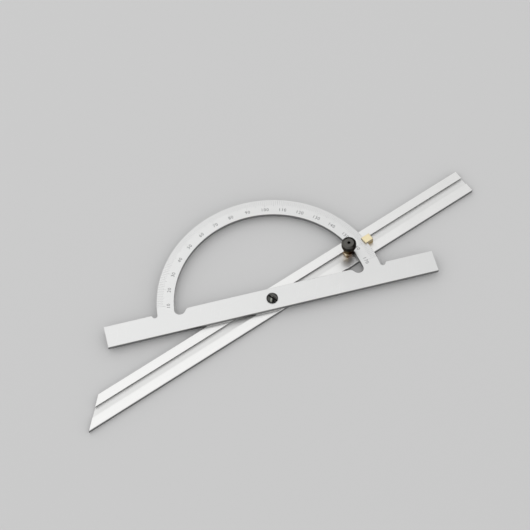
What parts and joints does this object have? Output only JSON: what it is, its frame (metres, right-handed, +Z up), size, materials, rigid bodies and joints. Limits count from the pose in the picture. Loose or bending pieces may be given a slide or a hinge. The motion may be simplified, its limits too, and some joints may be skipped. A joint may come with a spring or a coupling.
{
  "type": "bevel protractor",
  "caption": "Open-arc bevel protractor: a base bar with a half-ring degree scale, and a long grooved blade that swings on a pivot, slides lengthwise and is clamped to the arc.",
  "frame": {"origin": "on the pivot axis, at the underside of the blade", "axes": "+X along the base bar towards the arc's 170 degree foot, +Y from the bar towards the arc, +Z up out of the scale face"},
  "size_m": [0.2806, 0.1336, 0.0162],
  "materials": {
    "satin_plate": "fine satin chrome, matt enough to read the scale",
    "ground_blade": "ground lengthwise, bright",
    "black_screw": "black oxide, slightly glossy",
    "brass_clamp": "machined brass",
    "dark_collar": "turned brass, darkened by handling",
    "plain_steel": "plain turned steel",
    "black_nut": "black finish over straight knurling"
  },
  "bodies": {
    "scale_plate": {"protractor_plate": "satin_plate"},
    "swivel": {"pivot_slide": "plain_steel", "pivot_screw": "black_screw", "clamp_slide": "brass_clamp", "clamp_stud": "plain_steel"},
    "blade": {"blade": "ground_blade"},
    "collar": {"clamp_collar": "dark_collar"},
    "nut": {"thumb_nut": "black_nut"}
  },
  "joints": [
    {"name": "blade_swivel", "type": "hinge", "parent": "scale_plate", "child": "swivel", "pos_m": [0, 0, 0], "axis": [0, 0, 1], "range_deg": [-10.7, 149.3]},
    {"name": "blade_slide", "type": "slide", "parent": "swivel", "child": "blade", "axis": [0.9354, 0.3535, 0], "range_m": [-0.075, 0.12]},
    {"name": "nut_lift", "type": "slide", "parent": "swivel", "child": "collar", "axis": [0, 0, 1], "range_m": [0, 0.0014]},
    {"name": "nut_turn", "type": "hinge", "parent": "collar", "child": "nut", "pos_m": [0.05659, 0.02139, 0.0105], "axis": [0, 0, 1], "range_deg": [0, 720]}
  ],
  "couplings": [
    {"joint": "nut_turn", "follows": "nut_lift", "rad_per_m": 8976}
  ]
}
